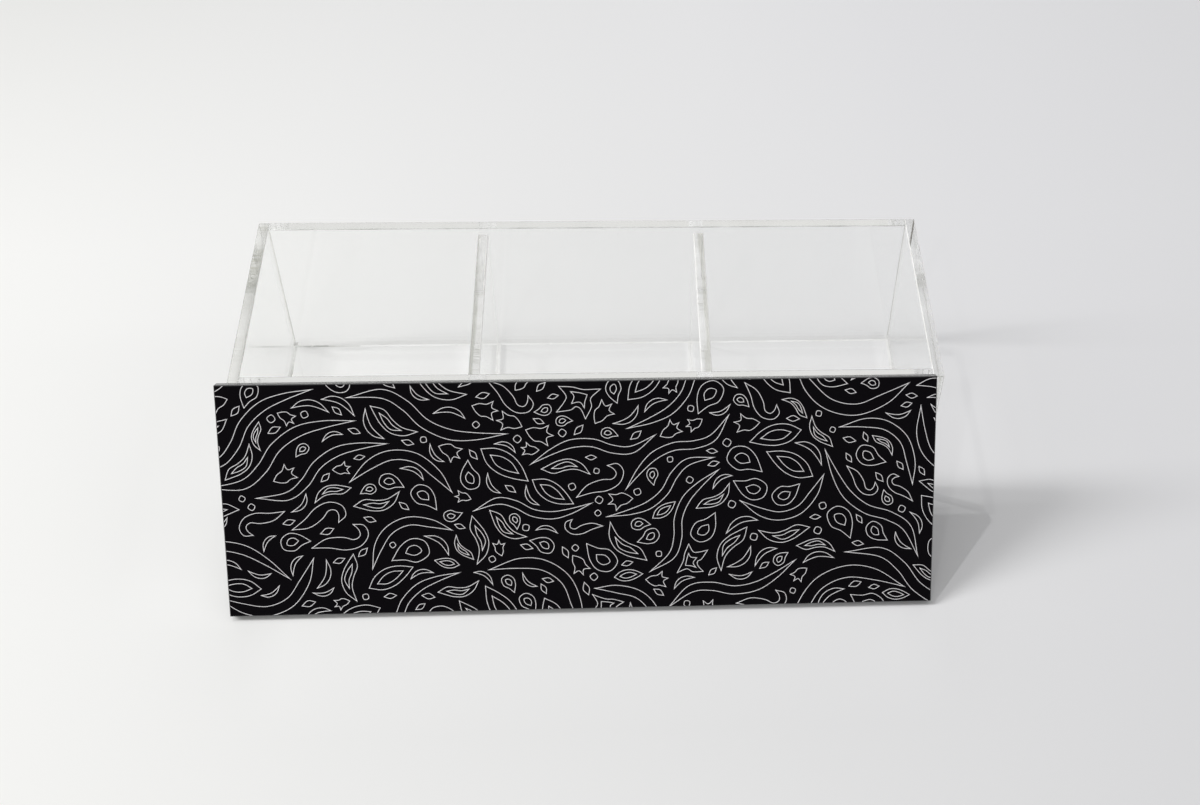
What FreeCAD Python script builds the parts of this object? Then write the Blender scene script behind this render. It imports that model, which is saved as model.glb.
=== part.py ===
import FreeCAD, Part
import os
import Sketcher

# A clear acrylic box with three compartments, and a loose black lid that leans on its front.
# The origin is the centre of the box's underside, +X to the right, +Y to the back and +Z up.
# Lengths are millimetres and angles are degrees.

doc = FreeCAD.newDocument("compartment_box")
sizes = doc.addObject("Spreadsheet::Sheet", "Sizes")

driving_sizes = {
    # outside of the cemented box
    "box_length": 255.0,
    "box_depth": 85.0,
    "box_height": 68.0,
    # the sheets that the box is cut from
    "wall_thickness": 4.0,
    "base_thickness": 4.0,
    "divider_thickness": 4.0,
    # the loose lid, the plate cemented under it, and the room beside and below that plate
    "lid_thickness": 4.0,
    "plate_thickness": 2.0,
    "plate_side_clearance": 1.0,
    "plate_headroom": 1.2,
    # how the lid stands: its lean from the vertical, and its shift to the left of the box
    "lid_lean_angle": 36.0,
    "lid_left_shift": 3.4,
}

derived_sizes = {
    # the walls and dividers stand on the base, and the long walls fit between the end walls
    "wall_height": "box_height - base_thickness",
    "long_wall_length": "box_length - 2 * wall_thickness",
    "inner_depth": "box_depth - 2 * wall_thickness",
    "end_wall_middle": "(box_length - wall_thickness) / 2",
    "long_wall_middle": "(box_depth - wall_thickness) / 2",
    # the dividers stop below the rim by the plate's thickness and its headroom
    "divider_height": "wall_height - plate_thickness - plate_headroom",
    "compartment_length": "(long_wall_length - 2 * divider_thickness) / 3",
    "divider_middle": "(compartment_length + divider_thickness) / 2",
    # the plate fits inside the four walls, with its clearance all round
    "plate_length": "long_wall_length - 2 * plate_side_clearance",
    "plate_depth": "inner_depth - 2 * plate_side_clearance",
    # the lid stands on its lower edge, and leans on the front wall with its back face or with its
    # plate, whichever meets the wall first: reach is measured up the slope, distance along Y
    "lid_slope_angle": "90 - lid_lean_angle",
    "lid_reach": "min(box_depth, box_height / cos(lid_lean_angle))",
    "lid_distance": "lid_reach * sin(lid_lean_angle)",
    "plate_rise": "plate_thickness * sin(lid_lean_angle)",
    "plate_reach": "min((box_depth + plate_depth) / 2, (box_height + plate_rise) / cos(lid_lean_angle))",
    "plate_distance": "plate_reach * sin(lid_lean_angle) + plate_thickness * cos(lid_lean_angle)",
    "lid_foot_distance": "max(lid_distance, plate_distance)",
    "lid_middle_height": "box_depth / 2 * cos(lid_lean_angle)",
    "lid_middle_place": "box_depth / 2 * (sin(lid_lean_angle) - 1) - lid_foot_distance",
}


def write_cell(row, alias, content):
    """One row of the sheet: the name in words, and beside it the cell that bears the name."""
    sizes.set("A%d" % row, alias)
    sizes.set("B%d" % row, content)
    sizes.setAlias("B%d" % row, alias)


for row, (alias, value) in enumerate(driving_sizes.items(), start=1):
    write_cell(row, alias, str(value))
for row, (alias, formula) in enumerate(derived_sizes.items(), start=len(driving_sizes) + 1):
    write_cell(row, alias, "=" + formula)
doc.recompute()


def rectangle(body, length, width):
    """A rectangle about the middle of the body's own XY plane, length along X and width along Y."""
    outline = body.newObject("Sketcher::SketchObject", body.Label + "_outline")
    plane = next(item for item in body.Origin.OriginFeatures if item.Role == "XY_Plane")
    outline.AttachmentSupport = [(plane, "")]
    outline.MapMode = "FlatFace"
    half_length = getattr(sizes, length) / 2
    half_width = getattr(sizes, width) / 2
    corners = [
        FreeCAD.Vector(-half_length, -half_width, 0),
        FreeCAD.Vector(half_length, -half_width, 0),
        FreeCAD.Vector(half_length, half_width, 0),
        FreeCAD.Vector(-half_length, half_width, 0),
    ]
    near, right, far, left = range(4)
    start, end = 1, 2
    centre = (-1, 1)
    for line in (near, right, far, left):
        following = (line + 1) % 4
        outline.addGeometry(Part.LineSegment(corners[line], corners[following]), False)
    for line in (near, right, far, left):
        following = (line + 1) % 4
        outline.addConstraint(Sketcher.Constraint("Coincident", line, end, following, start))
    for line in (near, far):
        outline.addConstraint(Sketcher.Constraint("Horizontal", line))
    for line in (right, left):
        outline.addConstraint(Sketcher.Constraint("Vertical", line))
    outline.addConstraint(Sketcher.Constraint("Symmetric", near, start, right, end, *centre))
    for kind, line, name in (("DistanceX", near, length), ("DistanceY", right, width)):
        value = getattr(sizes, name)
        rule = outline.addConstraint(Sketcher.Constraint(kind, line, start, line, end, value))
        outline.setExpression("Constraints[%d]" % rule, "Sizes." + name)
    return outline


def sheet_piece(label, length, width, height, below=False):
    """A piece of flat sheet in its own body: a rectangle, padded up, or down where below is true.

    length, width and height are names of sizes.
    """
    body = doc.addObject("PartDesign::Body", label)
    body.Label = label
    outline = rectangle(body, length, width)
    pad = body.newObject("PartDesign::Pad", label + "_pad")
    pad.Profile = outline
    pad.Reversed = below
    pad.setExpression("Length", "Sizes." + height)
    return body


def place(body, **coordinates):
    """Binds the coordinates of a piece's place to sizes, such as x="-Sizes.divider_middle"."""
    for direction, expression in coordinates.items():
        body.setExpression("Placement.Base." + direction, expression)


# The base, the four walls and the two dividers.
base_panel = sheet_piece("base_panel", "box_length", "box_depth", "base_thickness")

front_wall = sheet_piece("front_wall", "long_wall_length", "wall_thickness", "wall_height")
place(front_wall, y="-Sizes.long_wall_middle", z="Sizes.base_thickness")
back_wall = sheet_piece("back_wall", "long_wall_length", "wall_thickness", "wall_height")
place(back_wall, y="Sizes.long_wall_middle", z="Sizes.base_thickness")

left_end_wall = sheet_piece("left_end_wall", "wall_thickness", "box_depth", "wall_height")
place(left_end_wall, x="-Sizes.end_wall_middle", z="Sizes.base_thickness")
right_end_wall = sheet_piece("right_end_wall", "wall_thickness", "box_depth", "wall_height")
place(right_end_wall, x="Sizes.end_wall_middle", z="Sizes.base_thickness")

left_divider = sheet_piece("left_divider", "divider_thickness", "inner_depth", "divider_height")
place(left_divider, x="-Sizes.divider_middle", z="Sizes.base_thickness")
right_divider = sheet_piece("right_divider", "divider_thickness", "inner_depth", "divider_height")
place(right_divider, x="Sizes.divider_middle", z="Sizes.base_thickness")

# The lid has the outline of the box. Its plate lies on its back face, which is turned to the box.
lid_panel = sheet_piece("lid_panel", "box_length", "box_depth", "lid_thickness")
lid_locating_plate = sheet_piece("lid_locating_plate", "plate_length", "plate_depth", "plate_thickness",
                                 below=True)
lid_pieces = [lid_panel, lid_locating_plate]
across_the_front = FreeCAD.Vector(1, 0, 0)
for piece in lid_pieces:
    piece.Placement.Rotation = FreeCAD.Rotation(across_the_front, sizes.lid_slope_angle)
    piece.setExpression("Placement.Rotation.Angle", "Sizes.lid_slope_angle")
    place(piece, x="-Sizes.lid_left_shift", y="Sizes.lid_middle_place", z="Sizes.lid_middle_height")

box_pieces = [base_panel, front_wall, back_wall, left_end_wall, right_end_wall, left_divider,
              right_divider]
doc.recompute()

# Nothing is written unless every object is sound.
for item in doc.Objects:
    if "Invalid" in item.State or "Error" in item.State:
        raise ValueError(item.Label + " failed")
for piece in box_pieces + lid_pieces:
    if piece.Shape.isNull() or not piece.Shape.isValid() or len(piece.Shape.Solids) != 1:
        raise ValueError(piece.Label + " is not one sound solid")

os.makedirs("parts", exist_ok=True)
for piece in box_pieces + lid_pieces:
    piece.Shape.exportStep(os.path.join("parts", piece.Label + ".step"))
    box = piece.Shape.BoundBox
    print("%-20s %9.0f mm3  X %7.2f %7.2f  Y %7.2f %7.2f  Z %7.2f %7.2f" % (
        piece.Label, piece.Shape.Volume, box.XMin, box.XMax, box.YMin, box.YMax, box.ZMin, box.ZMax))
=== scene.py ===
import math
import random

import bmesh
import bpy
import numpy as np
from mathutils import Matrix, Vector
from mathutils.geometry import interpolate_bezier


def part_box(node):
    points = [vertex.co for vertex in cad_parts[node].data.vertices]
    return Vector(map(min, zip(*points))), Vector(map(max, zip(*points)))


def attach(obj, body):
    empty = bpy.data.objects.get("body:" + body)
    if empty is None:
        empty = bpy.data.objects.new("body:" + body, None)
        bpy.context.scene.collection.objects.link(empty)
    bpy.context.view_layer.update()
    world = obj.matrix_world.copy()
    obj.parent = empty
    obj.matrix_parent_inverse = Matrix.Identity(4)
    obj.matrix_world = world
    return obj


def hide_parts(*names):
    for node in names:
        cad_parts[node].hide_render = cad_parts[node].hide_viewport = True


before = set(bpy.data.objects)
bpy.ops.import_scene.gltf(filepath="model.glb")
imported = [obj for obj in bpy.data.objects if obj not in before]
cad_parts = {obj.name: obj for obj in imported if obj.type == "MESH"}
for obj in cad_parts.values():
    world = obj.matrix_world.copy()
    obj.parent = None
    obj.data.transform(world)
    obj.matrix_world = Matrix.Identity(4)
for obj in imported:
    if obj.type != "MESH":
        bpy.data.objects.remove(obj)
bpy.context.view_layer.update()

# A clear acrylic box with three compartments, and its loose black lid leaning on the front.
# The origin is the centre of the box's underside, +X to the right, +Y to the back and +Z up.
# Lengths are metres, written in millimetres where they are small. Angles are degrees.
MM = 0.001
X, Y, Z = 0, 1, 2

# A side of a sheet is an axis, and 0 for its low end or 1 for its high end.
LEFT, RIGHT = (X, 0), (X, 1)
FRONT, BACK = (Y, 0), (Y, 1)
FOOT, RIM = (Z, 0), (Z, 1)
SIDES = [LEFT, RIGHT, FRONT, BACK]
CORNERS = [(LEFT, FRONT), (LEFT, BACK), (RIGHT, FRONT), (RIGHT, BACK)]

# The loose lid: its outline, its thickness and its lean from the vertical.
LID_LENGTH = 255 * MM
LID_DEPTH = 85 * MM
LID_THICKNESS = 4 * MM
LID_LEAN = 36

# Sheets are cemented with solvent, so their meshes reach into each other by a hair. Cement squeezed
# out round their feet shows as a pale line on the base. To the left of DRY_JOINTS the line is dark,
# because the cement is missing there, and from there to HALF_DRY_JOINTS it is half dark.
CEMENT = 0.01 * MM
CEMENT_LINE = 0.9 * MM
DRY_JOINTS = -110 * MM
HALF_DRY_JOINTS = -97 * MM

# Arrises are the scraped corners where two sides meet. The dark one is frosted below this height, with
# a painted highlight.
ARRIS = 0.32 * MM
LID_ARRIS = 0.3 * MM
DARK_ARRIS_FOOT = 30 * MM

# The photograph's camera. The picture's width, and how far its middle lies to the left of the
# camera's own and above it, because it was cropped, are in pixels.
PICTURE_WIDTH = 1200
CAMERA_PLACE = Vector((11.6, -434.4, 492.5)) * MM
CAMERA_PITCH = 48.94
CAMERA_ROLL = 3.596
CAMERA_YAW = 5.913
CAMERA_LENS = 48.47
CROP_RIGHT = 133.6
CROP_DOWN = 27.3


# Shader nodes

ACRYLIC_IOR = 1.49

# The room as the camera, gloss and glass see it, and as it ends rays that were mirrored inside a
# sheet more than CAUGHT_BOUNCES times.
ROOM = (0.8, 0.8, 0.8, 1)
PALE_ROOM = (0.75, 0.75, 0.735, 1)
CAUGHT_BOUNCES = 7.0


def add(tree, kind, **settings):
    """A new node. Settings are its properties, and the plain values of the inputs so named."""
    node = tree.nodes.new("ShaderNode" + kind)
    for name, value in settings.items():
        if hasattr(node, name):
            setattr(node, name, value)
        else:
            node.inputs[name.replace("_", " ")].default_value = value
    return node


def join(tree, source, target):
    """Links two sockets, whichever order their nodes were made in."""
    tree.links.new(source, target)


def maths(tree, operation, first, second=0.0):
    """The result of a Math node: each of first and second is a socket or a number."""
    node = add(tree, "Math", operation=operation)
    for place, value in enumerate((first, second)):
        if isinstance(value, (int, float)):
            node.inputs[place].default_value = value
        else:
            join(tree, value, node.inputs[place])
    return node.outputs[0]


def total(tree, first, *others):
    """The sum of sockets and numbers."""
    for value in others:
        first = maths(tree, "ADD", first, value)
    return first


def product(tree, first, *others):
    """The product of sockets and numbers."""
    for value in others:
        first = maths(tree, "MULTIPLY", first, value)
    return first


def mapped(tree, value, low, high, first, last):
    """The value, from low to high, turned into a value from first to last."""
    node = add(tree, "MapRange", From_Min=low, From_Max=high, To_Min=first, To_Max=last)
    join(tree, value, node.inputs["Value"])
    return node.outputs["Result"]


def noise(tree, vector, **settings):
    """A noise texture's value, near 0.5 on average, at the places that the vector gives."""
    node = add(tree, "TexNoise", **settings)
    join(tree, vector, node.inputs["Vector"])
    return node.outputs[0]


def stretched(tree, vector, scale):
    """A vector times a scale, which has a number for each axis."""
    node = add(tree, "Mapping", Scale=scale)
    join(tree, vector, node.inputs["Vector"])
    return node.outputs[0]


def split(tree, vector):
    """A vector's X and Y."""
    node = add(tree, "SeparateXYZ")
    join(tree, vector, node.inputs[0])
    return node.outputs["X"], node.outputs["Y"]


def blended(tree, share, first, last):
    """A colour that runs from first to last while the share runs from 0 to 1."""
    node = add(tree, "MixRGB", Color1=first, Color2=last)
    join(tree, share, node.inputs["Fac"])
    return node.outputs[0]


def blended_shaders(tree, share, first, last):
    """A surface that runs from first to last while the share runs from 0 to 1."""
    node = add(tree, "MixShader")
    for place, socket in enumerate((share, first, last)):
        join(tree, socket, node.inputs[place])
    return node.outputs[0]


def new_group(name, inputs, outputs):
    """An empty shader node group, with its input and output nodes."""
    group = bpy.data.node_groups.new(name, "ShaderNodeTree")
    for label, kind, value in inputs:
        socket = group.interface.new_socket(label, in_out="INPUT", socket_type=kind)
        if value is not None:
            socket.default_value = value
    for label, kind in outputs:
        group.interface.new_socket(label, in_out="OUTPUT", socket_type=kind)
    return group, group.nodes.new("NodeGroupInput"), group.nodes.new("NodeGroupOutput")


def make_saw_marks():
    """Wear of a cut edge. The vector's X runs along the edge and its Y across it.

    Marks are fine lines across the edge, Patches are broad areas, and Bands are wavering lines along
    the edge, 8 mm apart, so an edge of 4 mm has half a wave of them.
    """
    group, given, out = new_group(
        "saw marks",
        [("Vector", "NodeSocketVector", None)],
        [("Marks", "NodeSocketFloat"), ("Bands", "NodeSocketFloat"), ("Patches", "NodeSocketFloat")])
    vector = given.outputs["Vector"]
    lengthwise = stretched(group, vector, (0.05, 1, 1))
    waver = noise(group, lengthwise, Scale=420.0, Detail=3.0, noise_dimensions="2D")
    turns = product(group, split(group, vector)[1], math.tau / (8 * MM))
    wave = maths(group, "SINE", total(group, turns, mapped(group, waver, 0.3, 0.7, -1.9, -0.7)))
    join(group, mapped(group, wave, -0.3, 0.5, 0, 1), out.inputs["Bands"])
    across = stretched(group, vector, (1, 0.06, 1))
    fine = noise(group, across, Scale=1500.0, Detail=4.0, Roughness=0.7, noise_dimensions="2D")
    join(group, mapped(group, fine, 0.35, 0.65, 0, 1), out.inputs["Marks"])
    broad = noise(group, across, Scale=55.0, Detail=3.0, noise_dimensions="2D")
    join(group, mapped(group, broad, 0.42, 0.66, 0, 1), out.inputs["Patches"])
    return group


def make_smudges():
    """Faint smudges of handling on a polished face, as a roughness from Least to Most."""
    group, given, out = new_group(
        "smudges",
        [("Vector", "NodeSocketVector", None), ("Least", "NodeSocketFloat", 0.0),
         ("Most", "NodeSocketFloat", 0.1)],
        [("Roughness", "NodeSocketFloat")])
    cloud = noise(group, given.outputs["Vector"], Scale=28.0, Detail=5.0, Roughness=0.6)
    share = mapped(group, cloud, 0.45, 0.7, 0, 1)
    span = maths(group, "SUBTRACT", given.outputs["Most"], given.outputs["Least"])
    level = total(group, product(group, share, span), given.outputs["Least"])
    join(group, level, out.inputs["Roughness"])
    return group


saw_marks = make_saw_marks()
smudges = make_smudges()


def new_material(name):
    """A material with no nodes but its output. Returns it, its node tree and that output."""
    material = bpy.data.materials.new(name)
    material.use_nodes = True
    tree = material.node_tree
    tree.nodes.clear()
    return material, tree, add(tree, "OutputMaterial")


def placed_group(tree, group, vector, **values):
    """A group in a material, with its vector linked and its other inputs set."""
    node = tree.nodes.new("ShaderNodeGroup")
    node.node_tree = group
    join(tree, vector, node.inputs["Vector"])
    for name, value in values.items():
        node.inputs[name].default_value = value
    return node


def new_glass(tree, transmission=1.0, **settings):
    """A Principled shader that light passes through."""
    glass = add(tree, "BsdfPrincipled", **settings)
    glass.inputs["Transmission Weight"].default_value = transmission
    return glass


def let_light_through(tree, glass, out, straight, grazing):
    """Lamps and the light of other surfaces pass through the glass.

    straight and grazing are the shares of it that pass where it meets the glass square, and where it
    grazes the glass. A ray that is mirrored over and over inside a sheet ends as light of the room.
    """
    edge_on = add(tree, "LayerWeight", Blend=0.5).outputs["Facing"]
    passed = mapped(tree, maths(tree, "POWER", edge_on, 5.0), 0, 1, straight, grazing)
    grey = add(tree, "CombineColor")
    for channel in ("Red", "Green", "Blue"):
        join(tree, passed, grey.inputs[channel])
    clear = add(tree, "BsdfTransparent")
    join(tree, grey.outputs[0], clear.inputs["Color"])
    path = add(tree, "LightPath")
    pale_room = add(tree, "Emission", Color=PALE_ROOM, Strength=1.0)
    caught = maths(tree, "GREATER_THAN", path.outputs["Glossy Depth"], CAUGHT_BOUNCES)
    surface = blended_shaders(tree, caught, glass.outputs[0], pale_room.outputs[0])
    for ray in ("Is Shadow Ray", "Is Diffuse Ray"):
        surface = blended_shaders(tree, path.outputs[ray], surface, clear.outputs[0])
    join(tree, surface, out.inputs["Surface"])


def make_clear_face():
    """A polished face of a clear sheet."""
    material, tree, out = new_material("clear acrylic, polished face")
    place = add(tree, "TexCoord").outputs["Object"]
    glass = new_glass(tree, Base_Color=(0.997, 1.0, 0.992, 1), IOR=ACRYLIC_IOR)
    wear = placed_group(tree, smudges, place, Least=0.0, Most=0.012)
    join(tree, wear.outputs["Roughness"], glass.inputs["Roughness"])
    let_light_through(tree, glass, out, straight=1.0, grazing=0.93)
    return material


def make_clear_joint(name, passed):
    """A cemented joint between two sheets. The cement bends light as the sheets do, so it barely shows.

    passed is the share of the light that gets through the joint.
    """
    material, tree, out = new_material(name)
    place = add(tree, "TexCoord").outputs["Object"]
    glass = new_glass(tree, Roughness=0.0, IOR=1.0)
    cloud = mapped(tree, noise(tree, place, Scale=160.0, Detail=4.0), 0.5, 0.75, 0, 1)
    tint = blended(tree, cloud, (0.995, 0.995, 0.995, 1), (0.98, 0.98, 0.975, 1))
    join(tree, tint, glass.inputs["Base Color"])
    let_light_through(tree, glass, out, straight=passed, grazing=passed)
    return material


def make_clear_edge(name, pale, worn_colour, rough, scores, bands, front_share=1.0):
    """A cut edge. Its colour and its roughness run from pale and 0.01 to worn_colour and rough.

    scores and bands are the strengths of the marks across the edge and along it. On an end wall
    front_share is how much of that wear is left in the front half, up to 8 mm before the middle.
    """
    material, tree, out = new_material(name)
    along = add(tree, "UVMap", uv_map="along_edge").outputs["UV"]
    glass = new_glass(tree, IOR=ACRYLIC_IOR)
    marks = placed_group(tree, saw_marks, along)
    scored = product(tree, marks.outputs["Marks"], marks.outputs["Patches"], scores)
    worn = total(tree, scored, product(tree, marks.outputs["Bands"], bands))
    if front_share < 1:
        kept = mapped(tree, split(tree, along)[0], -8 * MM, 4 * MM, front_share, 1)
        worn = product(tree, worn, kept)
    join(tree, mapped(tree, worn, 0, 1, 0.01, rough), glass.inputs["Roughness"])
    join(tree, blended(tree, worn, pale, worn_colour), glass.inputs["Base Color"])
    bump = add(tree, "Bump", Strength=0.07, Distance=0.03 * MM)
    join(tree, marks.outputs["Marks"], bump.inputs["Height"])
    join(tree, bump.outputs[0], glass.inputs["Normal"])
    let_light_through(tree, glass, out, straight=0.7, grazing=0.6)
    return material


def make_clear_arris(name, pale, worn_colour):
    """The scraped corner between a face and a sawn edge, which shows as a fine darker line."""
    material, tree, out = new_material(name)
    along = add(tree, "UVMap", uv_map="along_edge").outputs["UV"]
    glass = new_glass(tree, IOR=ACRYLIC_IOR)
    marks = placed_group(tree, saw_marks, along)
    join(tree, mapped(tree, marks.outputs["Marks"], 0, 1, 0.15, 0.3), glass.inputs["Roughness"])
    join(tree, blended(tree, marks.outputs["Patches"], pale, worn_colour), glass.inputs["Base Color"])
    let_light_through(tree, glass, out, straight=0.9, grazing=0.7)
    return material


def make_dull_line(name, bright, dull, scale):
    """A thin, hardly clear line: squeezed cement, a rough arris, or a painted highlight on a frosted
    arris.

    bright and dull are the colours of its spots, and scale is how fine they are.
    """
    material, tree, out = new_material(name)
    place = add(tree, "TexCoord").outputs["Object"]
    cement = new_glass(tree, transmission=0.1, IOR=ACRYLIC_IOR)
    spots = mapped(tree, noise(tree, place, Scale=scale, Detail=4.0), 0.35, 0.65, 0, 1)
    join(tree, blended(tree, spots, bright, dull), cement.inputs["Base Color"])
    join(tree, mapped(tree, spots, 0, 1, 0.1, 0.35), cement.inputs["Roughness"])
    let_light_through(tree, cement, out, straight=0.95, grazing=0.8)
    return material


def make_black_face():
    """The polished face of the lid."""
    material, tree, out = new_material("black acrylic, polished face")
    place = add(tree, "TexCoord").outputs["Object"]
    gloss = add(tree, "BsdfPrincipled", Base_Color=(0.0039, 0.0034, 0.0041, 1), IOR=ACRYLIC_IOR)
    gloss.inputs["Specular IOR Level"].default_value = 0.3
    wear = placed_group(tree, smudges, place, Least=0.07, Most=0.16)
    join(tree, wear.outputs["Roughness"], gloss.inputs["Roughness"])
    join(tree, gloss.outputs[0], out.inputs["Surface"])
    return material


def make_black_edge():
    """The sawn edge of the lid, which is a little greyer than its face."""
    material, tree, out = new_material("black acrylic, sawn edge")
    along = add(tree, "UVMap", uv_map="along_edge").outputs["UV"]
    gloss = add(tree, "BsdfPrincipled", Base_Color=(0.06, 0.06, 0.061, 1), IOR=ACRYLIC_IOR)
    marks = placed_group(tree, saw_marks, along)
    join(tree, mapped(tree, marks.outputs["Marks"], 0, 1, 0.08, 0.18), gloss.inputs["Roughness"])
    bump = add(tree, "Bump", Strength=0.1, Distance=0.03 * MM)
    join(tree, marks.outputs["Marks"], bump.inputs["Height"])
    join(tree, bump.outputs[0], gloss.inputs["Normal"])
    join(tree, gloss.outputs[0], out.inputs["Surface"])
    return material


def make_engraved():
    """The matt bottom of an engraved line."""
    material, tree, out = new_material("engraved line")
    place = add(tree, "TexCoord").outputs["Object"]
    matt = add(tree, "BsdfPrincipled", IOR=ACRYLIC_IOR)
    grain = noise(tree, place, Scale=2600.0, Detail=3.0)
    tint = blended(tree, mapped(tree, grain, 0.3, 0.7, 0, 1), (0.64, 0.625, 0.635, 1),
                   (0.93, 0.915, 0.925, 1))
    join(tree, tint, matt.inputs["Base Color"])
    join(tree, mapped(tree, grain, 0.3, 0.7, 0.6, 0.85), matt.inputs["Roughness"])
    join(tree, matt.outputs[0], out.inputs["Surface"])
    return material


clear_face = make_clear_face()
clear_edge = make_clear_edge("clear acrylic, sawn edge", pale=(0.985, 0.985, 0.97, 1),
                             worn_colour=(0.54, 0.54, 0.48, 1), rough=0.08, scores=1.0, bands=0.85)
scored_edge = make_clear_edge("clear acrylic, scored edge", pale=(0.985, 0.985, 0.96, 1),
                              worn_colour=(0.48, 0.48, 0.40, 1), rough=0.1, scores=1.6, bands=0.15,
                              front_share=0.3)
polished_edge = make_clear_edge("clear acrylic, polished edge", pale=(0.99, 0.99, 0.98, 1),
                                worn_colour=(0.93, 0.93, 0.91, 1), rough=0.03, scores=1.0, bands=0.2)
planed_edge = make_clear_edge("clear acrylic, planed edge", pale=(0.985, 0.985, 0.975, 1),
                              worn_colour=(0.68, 0.68, 0.64, 1), rough=0.08, scores=0.3, bands=0.2)
clear_joint = make_clear_joint("clear acrylic, cemented joint", passed=0.7)
clear_foot = make_clear_joint("clear acrylic, cemented foot", passed=1.0)
clear_arris = make_clear_arris("clear acrylic, scraped arris", pale=(0.75, 0.76, 0.73, 1),
                               worn_colour=(0.40, 0.41, 0.38, 1))
dark_arris = make_dull_line("clear acrylic, corner arris", bright=(0.30, 0.28, 0.23, 1),
                            dull=(0.20, 0.18, 0.15, 1), scale=260.0)
cement_line = make_dull_line("clear acrylic, line of cement", bright=(0.99, 0.99, 0.98, 1),
                             dull=(0.92, 0.92, 0.90, 1), scale=90.0)
# A painted highlight: the pale frosted line stands where the arrises catch the light.
frosted_arris_with_painted_highlight = make_dull_line("clear acrylic, frosted arris with painted highlight", bright=(0.99, 0.99, 0.98, 1),
                               dull=(0.84, 0.84, 0.81, 1), scale=260.0)
black_face = make_black_face()
black_edge = make_black_edge()
engraved = make_engraved()

# A face's material index is its place in one of these lists. A plain face has the first material.
# JOINED is an upright joint, and STOOD is the joint below a sheet's foot.
SAWN, SCRAPED, JOINED, STOOD, POLISHED, CEMENTED, PLANED, SCORED, FROSTED_HIGHLIGHT, DARK = range(1, 11)
clear_materials = [clear_face, clear_edge, clear_arris, clear_joint, clear_foot, polished_edge,
                   cement_line, planed_edge, scored_edge, frosted_arris_with_painted_highlight, dark_arris]
black_materials = [black_face, black_edge, black_edge]


# Sheets

# How far a point may be off a side and still count as on it.
TOUCH = 1e-7


def finish_piece(name, bm, materials, body, slot, *nodes):
    """Turns a bmesh into a piece of the object that rides on a body, with the materials it uses."""
    mesh = bpy.data.meshes.new(name)
    used = sorted({face.material_index for face in bm.faces})
    for face in bm.faces:
        face.material_index = used.index(face.material_index)
    bm.to_mesh(mesh)
    bm.free()
    for index in used:
        mesh.materials.append(materials[index])
    piece = bpy.data.objects.new(name, mesh)
    bpy.context.scene.collection.objects.link(piece)
    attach(piece, body)
    if nodes:
        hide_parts(*nodes)


def lay_along_edges(bm):
    """A UV map in metres on each face: U along the face's longer side and V along its shorter one."""
    layer = bm.loops.layers.uv.new("along_edge")
    for face in bm.faces:
        corners = [vertex.co for vertex in face.verts]
        spans = [max(c[axis] for c in corners) - min(c[axis] for c in corners) for axis in (X, Y, Z)]
        longest, middle = sorted((X, Y, Z), key=lambda axis: -spans[axis])[:2]
        for loop in face.loops:
            loop[layer].uv = (loop.vert.co[longest], loop.vert.co[middle])


def on_side(item, low, high, side):
    """True if a face or an edge lies wholly on one side of the box from low to high."""
    axis, end = side
    level = (low, high)[end][axis]
    return all(abs(vertex.co[axis] - level) < TOUCH for vertex in item.verts)


def sheet_mesh(low, high, cut, rounded, arris, arrises=()):
    """A sheet from corner low to corner high, with plain faces save where it is cut or rounded.

    cut gives each material its list of sides. rounded lists pairs of sides: where the two meet, a
    scraped arris is taken off, as wide as arris says. arrises lists pairs whose arris has another
    material, each with that material.
    """
    bm = bmesh.new()
    bmesh.ops.create_cube(bm, size=1)
    bmesh.ops.scale(bm, vec=high - low, verts=bm.verts)
    bmesh.ops.translate(bm, vec=(low + high) / 2, verts=bm.verts)
    for face in bm.faces:
        for material, sides in cut.items():
            if any(on_side(face, low, high, side) for side in sides):
                face.material_index = material
    edges = [edge for edge in bm.edges
             if any(on_side(edge, low, high, a) and on_side(edge, low, high, b) for a, b in rounded)]
    bmesh.ops.bevel(bm, geom=edges, affect="EDGES", offset=arris, offset_type="OFFSET", segments=2,
                    profile=0.5, clamp_overlap=True, material=SCRAPED)
    for face in [face for face in bm.faces if face.material_index == SCRAPED]:
        middle = face.calc_center_median()
        for sides, material in arrises:
            levels = [(low, high)[end][axis] for axis, end in sides]
            if all(abs(middle[axis] - level) < arris for (axis, end), level in zip(sides, levels)):
                face.material_index = material
    return bm


def cut_across(bm, axis, level):
    """Cuts every face of a mesh along a plane square to an axis."""
    middle = Vector((0, 0, 0))
    middle[axis] = level
    normal = Vector((0, 0, 0))
    normal[axis] = 1
    bmesh.ops.bisect_plane(bm, geom=bm.verts[:] + bm.edges[:] + bm.faces[:], plane_co=middle,
                           plane_no=normal)


def within(point, box, room):
    """True if a point lies in a box, given by its two corners, with so much room round it."""
    near, far = box
    return all(near[axis] - room < point[axis] < far[axis] + room for axis in (X, Y, Z))


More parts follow.
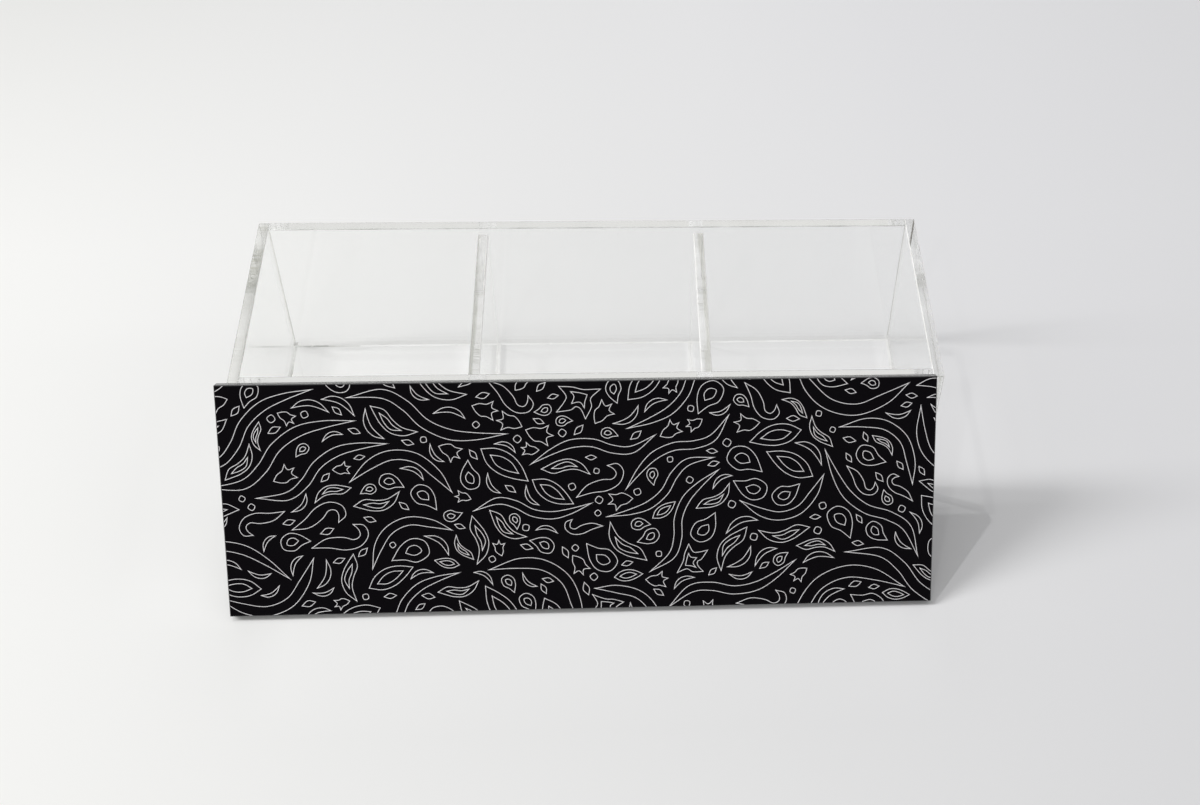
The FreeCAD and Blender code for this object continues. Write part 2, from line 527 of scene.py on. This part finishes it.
def mark_joints(bm, low, high, neighbours, squeezed):
    """Gives the joint materials to the faces of a sheet that lie against its neighbours' boxes.

    squeezed is the width of the line of cement round a neighbour's foot, or 0 where there is none.
    Under the back ends of the end walls the joint looks like that line, dark on the left and pale on
    the right.
    """
    if squeezed:
        cut_across(bm, X, DRY_JOINTS)
        cut_across(bm, X, HALF_DRY_JOINTS)
    for near, far in neighbours:
        for axis in (X, Y, Z):
            room = squeezed if axis != Z else 0
            for level in {near[axis] - room, near[axis], far[axis], far[axis] + room}:
                if low[axis] + 2 * CEMENT < level < high[axis] - 2 * CEMENT:
                    cut_across(bm, axis, level)
    back_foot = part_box("back_wall")[0].y
    end_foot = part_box("right_end_wall")[0].x
    for face in bm.faces:
        middle = face.calc_center_median()
        if any(within(middle, box, 2 * CEMENT) for box in neighbours):
            face.material_index = STOOD if abs(face.normal.z) > 0.5 else JOINED
        if squeezed and face.normal.z > 0.5:
            if any(within(middle, box, squeezed) and not within(middle, box, 2 * CEMENT)
                   for box in neighbours):
                face.material_index = CEMENTED
                if middle.x < HALF_DRY_JOINTS:
                    face.material_index = SCRAPED if middle.x < DRY_JOINTS else SAWN
            if middle.y > back_foot and abs(middle.x) > end_foot:
                face.material_index = SCRAPED if middle.x < 0 else CEMENTED


def clear_sheet(name, node, cemented, cut, rounded, neighbours, arrises=(), squeezed=0):
    """A clear sheet in a CAD node's place. cemented lists the sides that are cemented to others.

    The rest is as in sheet_mesh and mark_joints, with neighbours as the names of CAD nodes.
    """
    low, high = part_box(node)
    for axis, end in cemented:
        (low, high)[end][axis] += (-CEMENT, CEMENT)[end]
    bm = sheet_mesh(low, high, cut, rounded, ARRIS, arrises)
    if any(face.material_index == DARK for face in bm.faces):
        cut_across(bm, Z, DARK_ARRIS_FOOT)
        for face in bm.faces:
            if face.material_index == DARK and face.calc_center_median().z < DARK_ARRIS_FOOT:
                face.material_index = FROSTED_HIGHLIGHT
    mark_joints(bm, low, high, [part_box(neighbour) for neighbour in neighbours], squeezed)
    lay_along_edges(bm)
    finish_piece(name, bm, clear_materials, "box", "clear_acrylic", node)


# The arrises that catch the light are frosted and carry a painted highlight, and the one at the back
# right corner is dark.
ARRISES = {
    "front_wall": [((FRONT, RIM), FROSTED_HIGHLIGHT)],
    "back_wall": [],
    "left_end_wall": [],
    "right_end_wall": [((LEFT, RIM), FROSTED_HIGHLIGHT), ((RIGHT, RIM), FROSTED_HIGHLIGHT), ((RIGHT, BACK), DARK)],
    "left_divider": [((RIGHT, RIM), FROSTED_HIGHLIGHT)],
    "right_divider": [((LEFT, RIM), FROSTED_HIGHLIGHT), ((RIGHT, RIM), FROSTED_HIGHLIGHT)],
}

LONG_WALLS = ["front_wall", "back_wall"]
END_WALLS = ["left_end_wall", "right_end_wall"]
DIVIDERS = ["left_divider", "right_divider"]

clear_sheet("base_sheet", "base_panel", cemented=[], cut={POLISHED: SIDES},
            rounded=[(LEFT, FOOT), (RIGHT, FOOT), (FRONT, FOOT)] + CORNERS,
            neighbours=LONG_WALLS + END_WALLS + DIVIDERS, squeezed=CEMENT_LINE)
for node in LONG_WALLS:
    clear_sheet(node + "_sheet", node, cemented=[LEFT, RIGHT, FOOT], cut={PLANED: [RIM]},
                rounded=[(FRONT, RIM), (BACK, RIM)],
                neighbours=["base_panel"] + END_WALLS + DIVIDERS, arrises=ARRISES[node])
for node, rim in zip(END_WALLS, (SCORED, PLANED)):
    clear_sheet(node + "_sheet", node, cemented=[FOOT],
                cut={rim: [RIM], POLISHED: [FRONT], SAWN: [BACK]},
                rounded=[(side, RIM) for side in SIDES] + CORNERS,
                neighbours=["base_panel"] + LONG_WALLS, arrises=ARRISES[node])
for node in DIVIDERS:
    clear_sheet(node + "_sheet", node, cemented=[FRONT, BACK, FOOT], cut={SAWN: [RIM]},
                rounded=[(LEFT, RIM), (RIGHT, RIM)],
                neighbours=["base_panel"] + LONG_WALLS, arrises=ARRISES[node])


# The lid and its plate lie flat about the lid's own origin, face up, and then stand up by lid_place.
lid_low, lid_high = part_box("lid_panel")
lid_foot = Vector(((lid_low.x + lid_high.x) / 2,
                   lid_low.y + LID_THICKNESS * math.cos(math.radians(LID_LEAN)), lid_low.z))
lid_place = (Matrix.Translation(lid_foot) @ Matrix.Rotation(math.radians(90 - LID_LEAN), 4, "X")
             @ Matrix.Translation((0, LID_DEPTH / 2, 0)))


def sheet_of_lid(name, low, high, arris, rounded_ends, materials, slot, node):
    """A sheet of the lid, all its sides sawn, from corner low to corner high while it lies flat."""
    rounded = [(side, end) for side in SIDES for end in rounded_ends] + CORNERS
    bm = sheet_mesh(low, high, {SAWN: SIDES}, rounded, arris)
    lay_along_edges(bm)
    bm.transform(lid_place)
    finish_piece(name, bm, materials, "lid", slot, node)


def lid_sheet():
    """The black lid."""
    low = Vector((-LID_LENGTH / 2, -LID_DEPTH / 2, 0))
    high = Vector((LID_LENGTH / 2, LID_DEPTH / 2, LID_THICKNESS))
    sheet_of_lid("lid_sheet", low, high, LID_ARRIS, (FOOT, RIM), black_materials, "black_acrylic",
                 "lid_panel")


def locating_plate_sheet():
    """The clear plate under the lid, whose outline is its CAD node's, laid flat."""
    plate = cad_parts["lid_locating_plate"]
    flat = [lid_place.inverted() @ vertex.co for vertex in plate.data.vertices]
    low = Vector([min(point[axis] for point in flat) for axis in (X, Y, Z)])
    high = Vector([max(point[axis] for point in flat) for axis in (X, Y, Z)])
    high.z += CEMENT
    sheet_of_lid("locating_plate_sheet", low, high, ARRIS, (FOOT,), clear_materials, "clear_acrylic",
                 "lid_locating_plate")


lid_sheet()
locating_plate_sheet()


# The engraved pattern: outlines of leaves, pods and long blades, of a general kind.
# Each motif is a list of closed outlines about its middle, in millimetres. An outline runs smoothly
# through its points, save those that end in True, which are sharp tips.

# The lines: their width and rise, their steps, and the room from their ends to the lid's edge, all
# in millimetres.
LINE_WIDTH = 0.26
LINE_RISE = 0.03
LINE_STEP = 0.8
EDGE_ROOM = 0.35

# The layout: the least room between motifs, the step of the grid that keeps account of it, and how
# far that grid and the middles of motifs reach past the lid's edge, all in millimetres.
GAP = 1.35
CELL = 0.5
MARGIN = 14
OVERHANG = 4

# The directions: they swing over the face in waves, by so many radians. A wave turns by a radian in
# so many millimetres across the face and up it. Each motif strays from its wave by chance.
SWING = 0.75
WAVE_ACROSS = 24
WAVE_UP = 31
STRAY = 0.6
CHANCE_START = 20

BLADE = [[(-27, -5, True), (-18, 0.6), (-9, 3.8), (1, 3.0), (9, -0.6), (17, -2.0), (28, 1.8, True),
          (18, -5.0), (8.5, -4.2), (0, -0.4), (-8.5, 0.2), (-17, -1.7)]]
ARCH = [[(-21, -9, True), (-15.5, 0), (-6, 6.8), (5, 7.4), (14, 2.6), (21, -7, True), (12.5, -1.0),
         (4, 3.4), (-5, 2.9), (-12.5, -2.4)]]
BROAD_LEAF = [[(-8.5, 0, True), (-4.5, 3.2), (0.5, 4.4), (5.5, 3.4), (10.5, 0.6, True), (5.8, -1.8),
               (1, -3.2), (-4, -2.8)],
              [(-4.8, 0.2, True), (-1.4, 2.0), (2.4, 2.3), (6.4, 0.8, True), (2.4, -0.9), (-1.4, -1.3)]]
FLAME = [[(-9, -1.5, True), (-5, 1.9), (0, 2.3), (4.5, 3.6), (9, 7.4, True), (7.4, 2.2), (3.6, -1.4),
          (-1, -2.4), (-5, -2.1)],
         [(-4.9, -0.3, True), (-1.6, 0.9), (1.8, 1.1), (5.2, 2.6, True), (2.6, -0.5), (-1.2, -1.0)]]
POD = [[(6.8, 3.6, True), (2.4, 3.3), (-1.6, 3.9), (-5.4, 1.0), (-4.1, -3.2), (0.2, -4.1), (3.9, -1.5)],
       [(2.3, 0.9, True), (-0.7, 1.6), (-3.0, 0), (-1.2, -1.8), (1.2, -1.2)]]
LOBED_LEAF = [[(-9, -0.8, True), (-4.2, 1.4), (-3.4, 4.6), (0.4, 8.4, True), (0.8, 4.2), (2.4, 2.6),
               (4.6, 3.2), (10, 2.2, True), (6.0, -0.5), (4.4, -2.6), (5.8, -7.0, True), (0.8, -5.0),
               (-2.6, -2.8)],
              [(-3.4, -0.4, True), (-1.6, 2.0), (-0.6, 4.2, True), (0.2, 1.5), (3.4, 0.9, True),
               (1.6, -1.4), (2.2, -3.6, True), (-0.6, -2.2)]]
CRESCENT = [[(-7.5, -2.8, True), (-3.8, 0.7), (0.6, 2.0), (5.0, 0.9), (8.2, -2.2, True), (4.3, -1.1),
             (0.6, -0.6), (-3.5, -1.4)]]
HOOK = [[(-10, -4, True), (-5.5, -0.6), (-1.6, 3.2), (3.0, 5.0), (7.2, 3.6), (8.2, 0.2), (5.6, -2.2, True),
         (5.9, 0.2), (5.0, 2.1), (2.6, 2.0), (0.2, -0.8), (-4.4, -3.6)]]
BUD = [[(-5, 0, True), (-2.2, 2.4), (1.0, 3.4), (3.4, 6.0, True), (3.9, 2.9), (7.2, 2.6, True), (4.9, 0.4),
        (6.8, -2.6, True), (3.2, -2.2), (0.6, -3.0), (-2.4, -1.9)]]
SEED = [[(-2.6, 0, True), (0, 1.3), (2.9, 0.3, True), (0.2, -1.2)]]
BERRY = [[(-1.5, 0), (0, 1.6), (1.6, 0), (0, -1.5)]]

# The rounds in which motifs are laid: the motifs, the number of tries, and the range of scales.
ROUNDS = [([BLADE, ARCH], 120, 0.75, 1.1),
          ([LOBED_LEAF, BROAD_LEAF, FLAME, POD, HOOK], 900, 0.85, 1.1),
          ([BUD, LOBED_LEAF, POD, FLAME, CRESCENT, HOOK], 6000, 0.65, 0.85),
          ([BUD, BROAD_LEAF, CRESCENT, FLAME, POD], 12000, 0.45, 0.6),
          ([SEED, BERRY, SEED], 6000, 0.7, 1.0)]


def outline(points, scale):
    """A closed line through the points, in short steps. It is smooth save at its sharp tips."""
    line = []
    count = len(points)
    for index in range(count):
        before, start, end, after = (points[(index + step) % count] for step in (-1, 0, 1, 2))
        a, b, c, d = (Vector(point[:2]) for point in (before, start, end, after))
        leave = b + ((c - b) / 3 if len(start) > 2 else (c - a) / 6)
        arrive = c - ((c - b) / 3 if len(end) > 2 else (d - b) / 6)
        steps = max(3, round((c - b).length * scale / LINE_STEP))
        line += interpolate_bezier(b, leave, arrive, c, steps + 1)[:-1]
    return np.array([(point.x, point.y) for point in line]) * scale


def laid(line, place, angle, flip):
    """An outline turned, flipped over if flip is -1, and moved to its place on the lid."""
    turn = np.array([(math.cos(angle), math.sin(angle)), (-math.sin(angle), math.cos(angle))])
    return (line * (1, flip)) @ turn + place


def enclosed(line, across, along):
    """True for each grid point inside a closed line."""
    inside = np.zeros(across.shape, bool)
    for (x0, y0), (x1, y1) in zip(line, np.roll(line, -1, axis=0)):
        if y0 != y1:
            crossed = (y0 > along) != (y1 > along)
            inside ^= crossed & (across < (x1 - x0) * (along - y0) / (y1 - y0) + x0)
    return inside


class Field:
    """The lid's face as a grid of cells, each of them free or taken by a motif."""

    def __init__(self):
        self.half = np.array((LID_LENGTH, LID_DEPTH)) / MM / 2 + MARGIN
        size = np.ceil(2 * self.half / CELL).astype(int)
        self.taken = np.zeros(size, bool)

    def cells(self, points):
        """The columns and rows of the cells in which points lie."""
        return np.clip(((points + self.half) / CELL).astype(int), 0, np.array(self.taken.shape) - 1)

    def free(self, line):
        """True if no cell on an outline, or on two smaller ones within it, is taken."""
        middle = line.mean(axis=0)
        tested = np.concatenate([line, middle + (line - middle) * 0.75, middle + (line - middle) * 0.4])
        columns, rows = self.cells(tested).T
        return not self.taken[columns, rows].any()

    def take(self, line):
        """Takes the cells within an outline, and those less than a gap away from it."""
        first = self.cells(line.min(axis=0) - GAP)
        last = self.cells(line.max(axis=0) + GAP) + 1
        columns = np.arange(first[0], last[0])
        rows = np.arange(first[1], last[1])
        across, along = np.meshgrid((columns + 0.5) * CELL - self.half[0],
                                    (rows + 0.5) * CELL - self.half[1], indexing="ij")
        distance = np.hypot(across[..., None] - line[:, 0], along[..., None] - line[:, 1]).min(axis=-1)
        self.taken[first[0]:last[0], first[1]:last[1]] |= enclosed(line, across, along) | (distance < GAP)


def lay_motifs():
    """Lays motifs over the lid's face, large ones first, wherever they don't touch another.

    Returns the outlines of all that were laid.
    """
    chance = random.Random(CHANCE_START)
    field = Field()
    lines = []
    reach = field.half - MARGIN + OVERHANG
    for motifs, tries, smallest, largest in ROUNDS:
        for _ in range(tries):
            motif = chance.choice(motifs)
            scale = chance.uniform(smallest, largest)
            place = np.array([chance.uniform(-reach[0], reach[0]), chance.uniform(-reach[1], reach[1])])
            wave = SWING * math.sin(place[0] / WAVE_ACROSS + place[1] / WAVE_UP)
            angle = wave + chance.uniform(-STRAY, STRAY) + chance.choice((0, math.pi))
            flip = chance.choice((-1, 1))
            border, *inner = [laid(outline(points, scale), place, angle, flip) for points in motif]
            if field.free(border):
                field.take(border)
                lines += [border] + inner
    return lines


def engraved_lines():
    """The pattern as thin lines that stand a hair proud of the lid's face, cut at its edges."""
    curve = bpy.data.curves.new("engraved_lines", "CURVE")
    curve.dimensions = "2D"
    curve.fill_mode = "NONE"
    curve.bevel_depth = LINE_WIDTH / 2 * MM
    curve.bevel_resolution = 0
    for line in lay_motifs():
        spline = curve.splines.new("POLY")
        spline.points.add(len(line) - 1)
        for point, (across, along) in zip(spline.points, line):
            point.co = (across * MM, along * MM, 0, 1)
        spline.use_cyclic_u = True
    shape = bpy.data.objects.new("engraved_lines", curve)
    mesh = bpy.data.meshes.new_from_object(shape)
    bpy.data.objects.remove(shape)
    bpy.data.curves.remove(curve)
    bm = bmesh.new()
    bm.from_mesh(mesh)
    bpy.data.meshes.remove(mesh)
    bmesh.ops.scale(bm, vec=(1, 1, 2 * LINE_RISE / LINE_WIDTH), verts=bm.verts)
    bmesh.ops.translate(bm, vec=(0, 0, LID_THICKNESS), verts=bm.verts)
    half = Vector((LID_LENGTH, LID_DEPTH, 0)) / 2 - Vector((EDGE_ROOM, EDGE_ROOM, 0)) * MM
    for axis in (X, Y):
        for sign in (-1, 1):
            normal = Vector((0, 0, 0))
            normal[axis] = sign
            bmesh.ops.bisect_plane(bm, geom=bm.verts[:] + bm.edges[:] + bm.faces[:],
                                   plane_co=normal * half[axis], plane_no=normal, clear_outer=True)
    bm.transform(lid_place)
    finish_piece("engraved_lines", bm, [engraved], "lid", "black_acrylic")


engraved_lines()


# The floor, the lamps and the camera

# The floor's size, its drop below the box, and its colour at the left and at the right. The floor is
# lighter and warmer at the left as painted falloff of the light from there. From 0.7 to 2 m away it
# turns into the room.
FLOOR_SIZE = 12.0
FLOOR_DROP = 0.03 * MM
FLOOR_LEFT = (0.885, 0.885, 0.865, 1)
FLOOR_RIGHT = (0.782, 0.782, 0.797, 1)

# Painted light and shadow: sheets lead light down to the floor, and beside the feet of the dividers and
# end walls it is painted on the floor as narrow bars, with painted shadow in the darker ones. Each runs
# from one X to another in millimetres, and is lighter by a share, or else darker.
PAINTED_BARS = [(-41.0, -36.2, -0.16), (37.6, 44.6, 0.12), (36.2, 45.0, 0.04),
        (-59.0, -43.0, 0.08), (116.5, 124.5, 0.07), (-124.0, -107.5, -0.09)]

# Soft patches of painted light, which lift the shade in front of the lid, left of the box, right of it,
# and under the two end walls.
# Each rises from one X to another and falls from a third to a fourth, and then so in Y, all in
# millimetres. The last number is the share by which it is lighter.
PAINTED_LIGHT_PATCHES = [((-125, -110), (110, 130), (-145, -100), (-60, -30), 0.06),
           ((-175, -145), (-131, -125), (-100, -80), (-30, 30), 0.055),
           ((126, 135), (150, 170), (-50, -35), (0, 30), 0.05),
           ((-128.5, -127), (-124, -122.5), (-44, -42), (20, 32), 0.1),
           ((122.5, 124), (127, 128.5), (20, 28), (40, 43), 0.1)]

# The level of the soft light from all sides, and the dark card's colour, size and place.
SOFT_LIGHT = 0.485
CARD_COLOUR = (0.05, 0.045, 0.06, 1)
CARD_WIDTH = 2.4
CARD_HEIGHT = 1.4
CARD_PLACE = Matrix.Translation((0.1, -1.1, 0.5)) @ Matrix.Rotation(math.radians(66), 4, "X")


def ramp(tree, value, ends, first, last):
    """The value turned into one that runs from first to last between two ends in millimetres."""
    return mapped(tree, value, ends[0] * MM, ends[1] * MM, first, last)


def painted_light_and_shade_from_sheets(tree, x, y):
    """The share of painted light and shadow below and round the box, most of it along the front."""
    across = ramp(tree, maths(tree, "ABSOLUTE", x), (125.5, 128.5), 1, 0)
    along = ramp(tree, maths(tree, "ABSOLUTE", y), (40.5, 43.5), 1, 0)
    # Painted light on the floor under the box, as if led down by the sheets, most of it at the front.
    lit = product(tree, across, along, ramp(tree, y, (-34, 10), 0.18, 0.095))
    for start, end, gain in PAINTED_BARS:
        middle, half = (start + end) / 2, (end - start) / 2
        away = maths(tree, "ABSOLUTE", maths(tree, "SUBTRACT", x, middle * MM))
        lit = total(tree, lit, product(tree, ramp(tree, away, (half * 0.4, half), gain, 0), along))
    for left_rise, right_fall, front_rise, back_fall, gain in PAINTED_LIGHT_PATCHES:
        patch = product(tree, ramp(tree, x, left_rise, 0, gain), ramp(tree, x, right_fall, 1, 0),
                        ramp(tree, y, front_rise, 0, 1), ramp(tree, y, back_fall, 1, 0))
        lit = total(tree, lit, patch)
    return lit


def painted_broad_light_and_shade(tree, x, y):
    """The share of painted light that makes the floor lighter right behind the box and at the back right.

    At the back left and front right the share is below 0: painted shade makes the floor darker there.
    """
    back_left = product(tree, ramp(tree, y, (100, 350), 0, -0.2), ramp(tree, x, (-400, 50), 1, 0))
    right = product(tree, ramp(tree, y, (-200, 120), -0.035, 0.03), ramp(tree, x, (0, 200), 0, 1))
    behind = product(tree, ramp(tree, y, (40, 60), 0, 0.024),
                     ramp(tree, maths(tree, "ABSOLUTE", x), (130, 300), 1, 0))
    return total(tree, back_left, behind, right)


def make_floor_material():
    """The pale floor, which ends as the room. Painted light and shade make it warm and light at the left,
    cooler at the right, and lighter or darker round the box.
    """
    material, tree, out = new_material("pale floor")
    place = add(tree, "TexCoord").outputs["Object"]
    x, y = split(tree, place)
    slant = total(tree, x, product(tree, y, 0.25))
    colour = blended(tree, ramp(tree, slant, (-280, 220), 0, 1), FLOOR_LEFT, FLOOR_RIGHT)
    lighter = add(tree, "VectorMath", operation="SCALE")
    join(tree, colour, lighter.inputs[0])
    gain = total(tree, painted_light_and_shade_from_sheets(tree, x, y), painted_broad_light_and_shade(tree, x, y), 1.0)
    join(tree, gain, lighter.inputs["Scale"])
    matt = add(tree, "BsdfPrincipled", Roughness=0.9)
    matt.inputs["Specular IOR Level"].default_value = 0.1
    join(tree, lighter.outputs[0], matt.inputs["Base Color"])
    room = add(tree, "Emission", Color=ROOM, Strength=1.0)
    away = add(tree, "VectorMath", operation="LENGTH")
    join(tree, place, away.inputs[0])
    far = ramp(tree, away.outputs["Value"], (700, 2000), 0, 1)
    join(tree, blended_shaders(tree, far, matt.outputs[0], room.outputs[0]), out.inputs["Surface"])
    return material


def rectangle(name, width, height, place, material):
    """A flat rectangle about the origin, moved to its place."""
    bm = bmesh.new()
    bmesh.ops.create_grid(bm, x_segments=1, y_segments=1, size=0.5)
    bmesh.ops.scale(bm, vec=(width, height, 1), verts=bm.verts)
    bm.transform(place)
    mesh = bpy.data.meshes.new(name)
    bm.to_mesh(mesh)
    bm.free()
    mesh.materials.append(material)
    item = bpy.data.objects.new(name, mesh)
    bpy.context.scene.collection.objects.link(item)
    return item


def make_floor():
    """The floor under the box."""
    floor = rectangle("floor", FLOOR_SIZE, FLOOR_SIZE, Matrix.Translation((0, 0, -FLOOR_DROP)),
                      make_floor_material())


def make_dark_card():
    """A dark card behind the camera. Only gloss sees it, so the black lid doesn't mirror the room."""
    material, tree, out = new_material("dark card")
    glow = add(tree, "Emission", Color=CARD_COLOUR, Strength=1.0)
    join(tree, glow.outputs[0], out.inputs["Surface"])
    card = rectangle("dark_card", CARD_WIDTH, CARD_HEIGHT, CARD_PLACE, material)
    for ray in ("camera", "diffuse", "transmission", "volume_scatter", "shadow"):
        setattr(card, "visible_" + ray, False)


def make_world():
    """An even soft light from all sides, which the camera, gloss and glass see as a pale room."""
    world = bpy.data.worlds.new("soft light")
    world.use_nodes = True
    tree = world.node_tree
    tree.nodes.clear()
    path = add(tree, "LightPath")
    seen = maths(tree, "MAXIMUM", path.outputs["Is Camera Ray"], path.outputs["Is Glossy Ray"])
    seen = maths(tree, "MAXIMUM", seen, path.outputs["Is Transmission Ray"])
    background = add(tree, "Background")
    soft_light = (SOFT_LIGHT, SOFT_LIGHT, SOFT_LIGHT, 1)
    join(tree, blended(tree, seen, soft_light, ROOM), background.inputs["Color"])
    join(tree, background.outputs[0], add(tree, "OutputWorld").inputs["Surface"])
    bpy.context.scene.world = world


def lamp(name, aim, direction, distance, width, height, watts):
    """An area lamp that looks at aim from a direction and a distance."""
    data = bpy.data.lights.new(name, "AREA")
    data.shape = "RECTANGLE"
    data.size = width
    data.size_y = height
    data.energy = watts
    light = bpy.data.objects.new(name, data)
    back = Vector(direction).normalized()
    light.location = Vector(aim) + back * distance
    light.rotation_mode = "QUATERNION"
    light.rotation_quaternion = back.to_track_quat("Z", "Y")
    bpy.context.scene.collection.objects.link(light)
    return light


def make_lamps():
    """Two small lamps for the sharp shadows, and a softbox that gloss and glass don't see."""
    lamp("high lamp", aim=(0.13, -0.02, 0.05), direction=(-28.4, 9.5, 68), distance=1.7,
         width=0.025, height=0.025, watts=3.3)
    softbox = lamp("side softbox", aim=(0, 0, 0.03), direction=(-70, -3, 57), distance=2.6,
                   width=0.42, height=1.3, watts=38.5)
    softbox.visible_glossy = False
    softbox.visible_transmission = False
    lamp("front lamp", aim=(0, 0, 0.05), direction=(-25.5, -60.6, 68), distance=1.8,
         width=0.05, height=0.05, watts=1.4)


def make_camera():
    """The photograph's camera, shifted as the photograph was cropped."""
    data = bpy.data.cameras.new("camera")
    data.lens = CAMERA_LENS
    data.shift_x = -CROP_RIGHT / PICTURE_WIDTH
    data.shift_y = CROP_DOWN / PICTURE_WIDTH
    camera = bpy.data.objects.new("camera", data)
    turn = (Matrix.Rotation(math.radians(-CAMERA_YAW), 4, "Z")
            @ Matrix.Rotation(math.radians(90 - CAMERA_PITCH), 4, "X")
            @ Matrix.Rotation(math.radians(CAMERA_ROLL), 4, "Z"))
    camera.matrix_world = Matrix.Translation(CAMERA_PLACE) @ turn
    bpy.context.scene.collection.objects.link(camera)
    bpy.context.scene.camera = camera


make_floor()
make_dark_card()
make_world()
make_lamps()
make_camera()

# One view passes through up to six clear sheets, so the light paths are long.
scene = bpy.context.scene
scene.view_settings.view_transform = "Standard"
scene.cycles.max_bounces = 24
scene.cycles.glossy_bounces = 16
scene.cycles.transmission_bounces = 24
scene.cycles.transparent_max_bounces = 40
